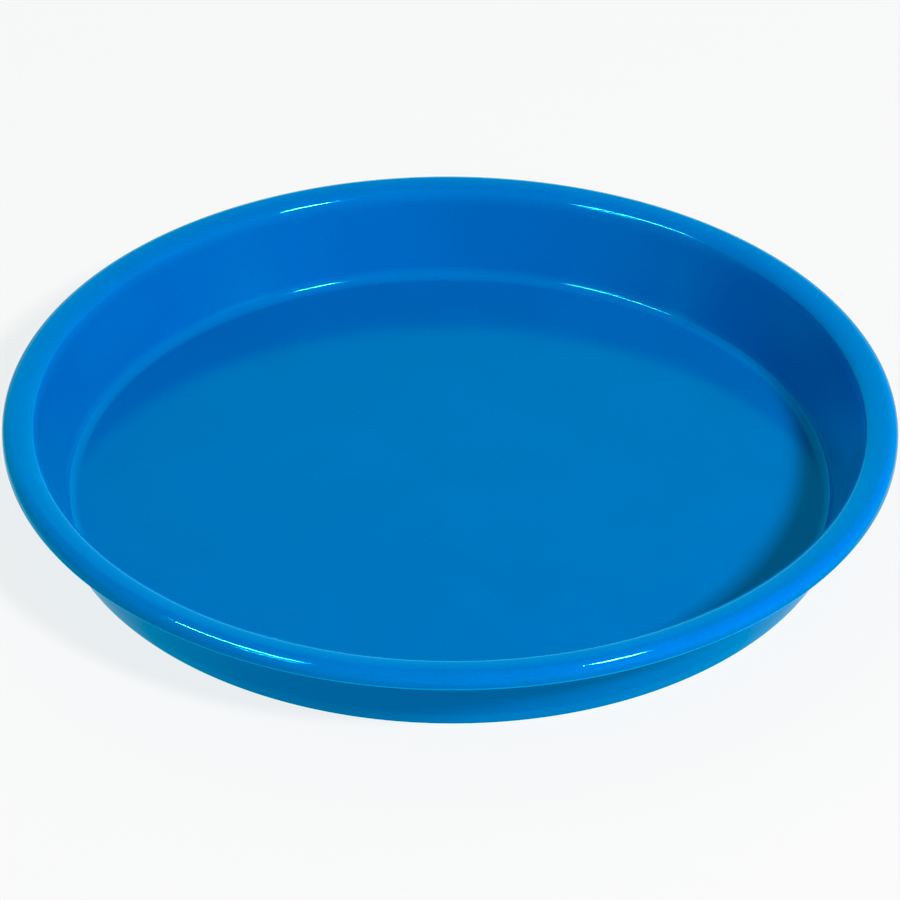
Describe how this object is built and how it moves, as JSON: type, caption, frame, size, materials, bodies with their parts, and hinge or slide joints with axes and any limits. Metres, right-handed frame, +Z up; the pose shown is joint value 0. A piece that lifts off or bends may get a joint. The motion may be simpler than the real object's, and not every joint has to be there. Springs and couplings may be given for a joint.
{
  "type": "mud pan",
  "caption": "Shallow round moulded plastic pan with a flat floor, flared wall and outward rolled rim, for mixing and carrying plaster or joint compound.",
  "frame": {"origin": "centre of the underside, in the plane that the pan rests on", "axes": "+Z up along the pan's axis; X and Y lie in the plane it rests on, and the pan is round about +Z"},
  "size_m": [0.4, 0.4, 0.043],
  "materials": {
    "plastic": "moulded glossy blue plastic"
  },
  "bodies": {
    "root": {"pan": "plastic"}
  },
  "joints": []
}
